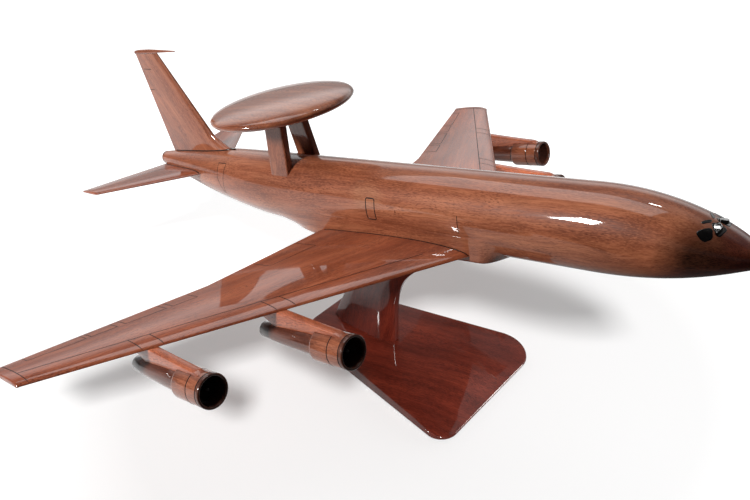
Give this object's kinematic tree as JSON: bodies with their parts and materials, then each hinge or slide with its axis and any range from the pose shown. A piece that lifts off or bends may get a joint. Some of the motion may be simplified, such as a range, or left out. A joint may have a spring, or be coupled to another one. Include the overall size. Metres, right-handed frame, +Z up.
{
  "type": "desktop aircraft model",
  "caption": "Carved hardwood desk model of a swept-wing radar aircraft with podded engines and a turning dome, lifted off a bevelled wooden stand on pegs.",
  "frame": {"origin": "middle of the felt under the stand, on the desk", "axes": "+X towards the nose, +Y towards the left wing, +Z up; the aircraft is pitched 9 degrees nose up on the stand"},
  "size_m": [0.4385, 0.423, 0.1796],
  "materials": {
    "lacquered_wood": "gloss lacquer over red-brown hardwood",
    "dark_lacquered_wood": "gloss lacquer over dark red-brown hardwood",
    "dowel_wood": "plain sanded beech",
    "black_paint": "black gloss paint",
    "brass": "plain",
    "steel": "zinc plated",
    "felt": "green felt"
  },
  "bodies": {
    "stand": {"stand_base": "dark_lacquered_wood", "stand_column": "dark_lacquered_wood", "felt_pad": "felt", "base_screw_front": "steel", "base_screw_rear": "steel", "stand_peg_front": "dowel_wood", "stand_peg_rear": "dowel_wood"},
    "aircraft": {"fuselage": "lacquered_wood", "belly_block": "lacquered_wood", "belly_dowel_front": "dowel_wood", "belly_dowel_rear": "dowel_wood", "wing_left": "lacquered_wood", "wing_right": "lacquered_wood", "wing_dowel_left_front": "dowel_wood", "wing_dowel_left_rear": "dowel_wood", "wing_dowel_right_front": "dowel_wood", "wing_dowel_right_rear": "dowel_wood", "fin": "lacquered_wood", "fin_probe": "lacquered_wood", "tailplane_left": "lacquered_wood", "tailplane_right": "lacquered_wood", "dome_strut_left": "lacquered_wood", "dome_strut_right": "lacquered_wood", "strut_head": "lacquered_wood", "dome_washer": "brass", "pylon_left_inner": "lacquered_wood", "nacelle_left_inner": "lacquered_wood", "intake_plug_left_inner": "black_paint", "exhaust_nozzle_left_inner": "black_paint", "pylon_pin_left_inner": "steel", "pylon_left_outer": "lacquered_wood", "nacelle_left_outer": "lacquered_wood", "intake_plug_left_outer": "black_paint", "exhaust_nozzle_left_outer": "black_paint", "pylon_pin_left_outer": "steel", "pylon_right_inner": "lacquered_wood", "nacelle_right_inner": "lacquered_wood", "intake_plug_right_inner": "black_paint", "exhaust_nozzle_right_inner": "black_paint", "pylon_pin_right_inner": "steel", "pylon_right_outer": "lacquered_wood", "nacelle_right_outer": "lacquered_wood", "intake_plug_right_outer": "black_paint", "exhaust_nozzle_right_outer": "black_paint", "pylon_pin_right_outer": "steel"},
    "dome": {"radar_dome": "lacquered_wood", "dome_screw": "brass"}
  },
  "joints": [
    {"name": "lift_off", "type": "slide", "parent": "stand", "child": "aircraft", "axis": [-0.1564, 0, 0.9877], "range_m": [0, 0.05]},
    {"name": "dome_spin", "type": "hinge", "parent": "aircraft", "child": "dome", "pos_m": [-0.09041, 0, 0.15877], "axis": [-0.1564, 0, 0.9877], "continuous": true}
  ]
}
